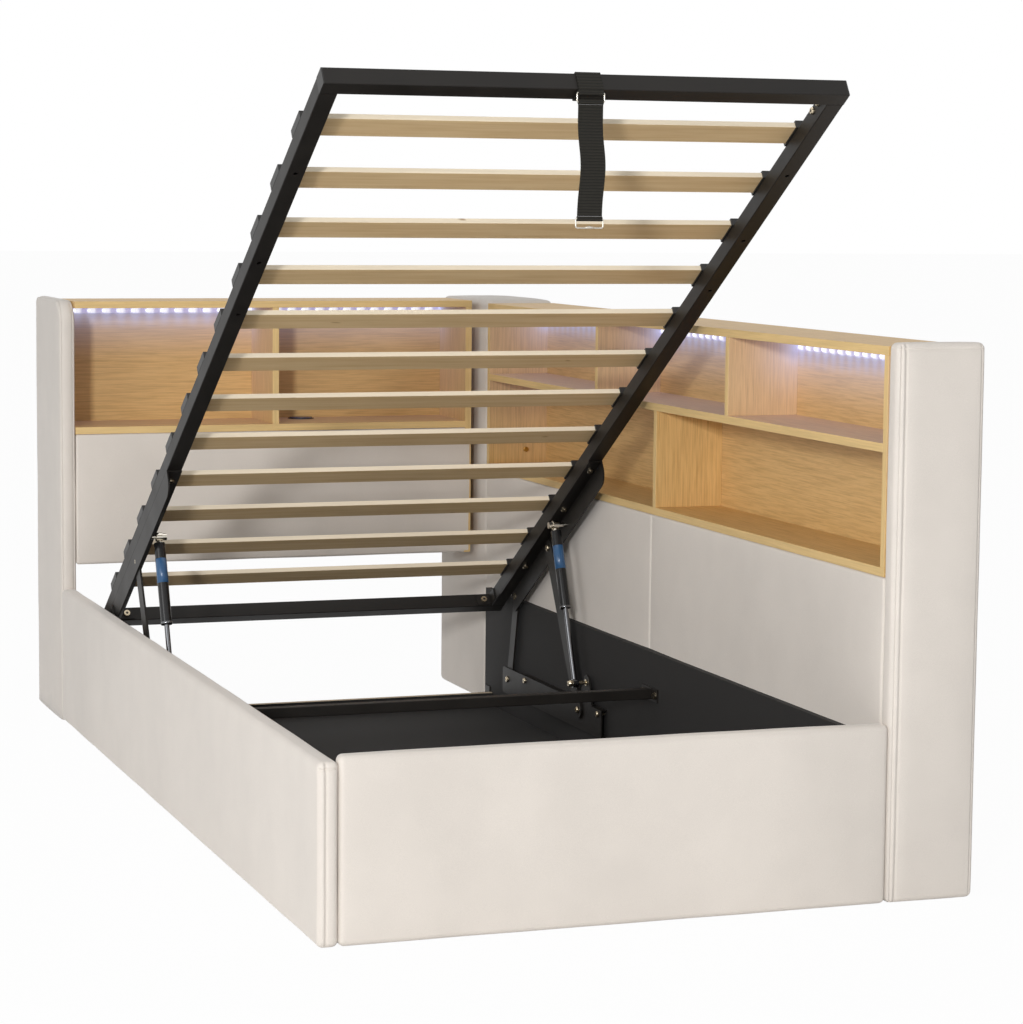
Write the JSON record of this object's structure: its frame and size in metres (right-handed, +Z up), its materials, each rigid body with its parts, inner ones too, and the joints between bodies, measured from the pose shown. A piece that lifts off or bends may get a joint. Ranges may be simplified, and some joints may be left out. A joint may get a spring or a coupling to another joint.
{
  "type": "storage daybed",
  "caption": "Upholstered storage daybed with a slatted lift-up base on gas struts, a lit headboard shelf and a long lit side bookcase.",
  "frame": {"origin": "middle of the bed's plan, on the floor", "axes": "+X across the bed towards the side bookcase, +Y along the bed towards the headboard, +Z up"},
  "size_m": [1.134, 2.375, 1.3563],
  "materials": {
    "velvet": "short-pile velvet, beige",
    "bookcase_velvet": "short-pile velvet, beige",
    "oak_board": "light oak laminate, satin",
    "led_light": "lit cool-white strip",
    "black_plastic": "matt black",
    "brass_screw": "satin",
    "dark_board": "black laminate, matt",
    "black_steel": "black powder coat, satin",
    "zinc_bolts": "yellow zinc",
    "birch_slats": "birch plywood, clear coat",
    "webbing": "woven black webbing",
    "bright_steel": "bright"
  },
  "bodies": {
    "bed": {"left_side_rail": "velvet", "footboard": "velvet", "foot_post": "velvet", "left_wing": "velvet", "head_corner_block": "velvet", "headboard_panel": "velvet", "headboard_top_board": "oak_board", "headboard_shelf": "oak_board", "headboard_end_board": "oak_board", "headboard_divider": "oak_board", "headboard_back": "oak_board", "headboard_led_strip": "led_light", "charging_grommet": "black_plastic", "bookcase_top_board": "oak_board", "bookcase_middle_shelf": "oak_board", "bookcase_bottom_shelf": "oak_board", "bookcase_head_board": "oak_board", "bookcase_foot_board": "oak_board", "bookcase_upper_divider_1": "oak_board", "bookcase_upper_divider_2": "oak_board", "bookcase_lower_divider": "oak_board", "bookcase_back": "oak_board", "bookcase_panel_foot": "bookcase_velvet", "bookcase_panel_head": "bookcase_velvet", "bookcase_lower_uprights": "oak_board", "bookcase_led_strip": "led_light", "bookcase_connector_screw": "brass_screw", "storage_side_panel": "dark_board", "storage_floor_foot": "dark_board", "storage_floor_head": "dark_board", "storage_end_board": "dark_board", "storage_end_brackets": "black_steel", "storage_cross_tube": "black_steel", "left_base_bracket": "black_steel", "right_base_bracket": "black_steel", "base_bolts": "zinc_bolts", "base_pins": "zinc_bolts"},
    "front_links": {"left_front_link": "black_steel", "right_front_link": "black_steel"},
    "rear_links": {"left_rear_link": "black_steel", "right_rear_link": "black_steel"},
    "lift_frame": {"frame_left_rail": "black_steel", "frame_right_rail": "black_steel", "frame_foot_tube": "black_steel", "frame_head_tube": "black_steel", "tube_end_plugs": "black_plastic", "frame_corner_angles": "black_steel", "left_lift_arm": "black_steel", "right_lift_arm": "black_steel", "frame_bolts": "zinc_bolts", "slat_caps": "black_plastic", "slats": "birch_slats", "strap_loop": "webbing"},
    "pull_strap": {"pull_strap": "webbing", "strap_rings": "bright_steel"},
    "strut_rods": {"left_strut_rod": "bright_steel", "right_strut_rod": "bright_steel"},
    "strut_cylinders": {"left_strut_cylinder": "black_steel", "right_strut_cylinder": "black_steel"}
  },
  "joints": [
    {"name": "front_link_hinge", "type": "hinge", "parent": "bed", "child": "front_links", "pos_m": [-0.0705, 0.15986, 0.1], "axis": [1, 0, 0], "range_deg": [-43.73, 0]},
    {"name": "frame_lift", "type": "hinge", "parent": "front_links", "child": "lift_frame", "pos_m": [-0.0705, 0.34692, 0.41761], "axis": [1, 0, 0], "range_deg": [0, 76.13]},
    {"name": "rear_link_hinge", "type": "hinge", "parent": "bed", "child": "rear_links", "pos_m": [-0.0705, 0.60942, 0.093], "axis": [1, 0, 0], "range_deg": [-67.78, 0]},
    {"name": "strut_hinge", "type": "hinge", "parent": "bed", "child": "strut_rods", "pos_m": [-0.0705, 0.12246, 0.163], "axis": [1, 0, 0], "range_deg": [-60.61, 0]},
    {"name": "strut_slide", "type": "slide", "parent": "strut_rods", "child": "strut_cylinders", "axis": [0, 0.3756, 0.9268], "range_m": [-0.0592, 0]},
    {"name": "strap_swing", "type": "hinge", "parent": "lift_frame", "child": "pull_strap", "pos_m": [-0.078, -1.04566, 1.3231], "axis": [1, 0, 0], "range_deg": [-8, 30]}
  ],
  "couplings": [
    {"joint": "front_link_hinge", "follows": "frame_lift", "ratio": -0.57376},
    {"joint": "rear_link_hinge", "follows": "frame_lift", "ratio": -0.88961},
    {"joint": "strut_hinge", "follows": "frame_lift", "ratio": -0.79549},
    {"joint": "strut_slide", "follows": "frame_lift", "m_per_rad": -0.044401}
  ]
}
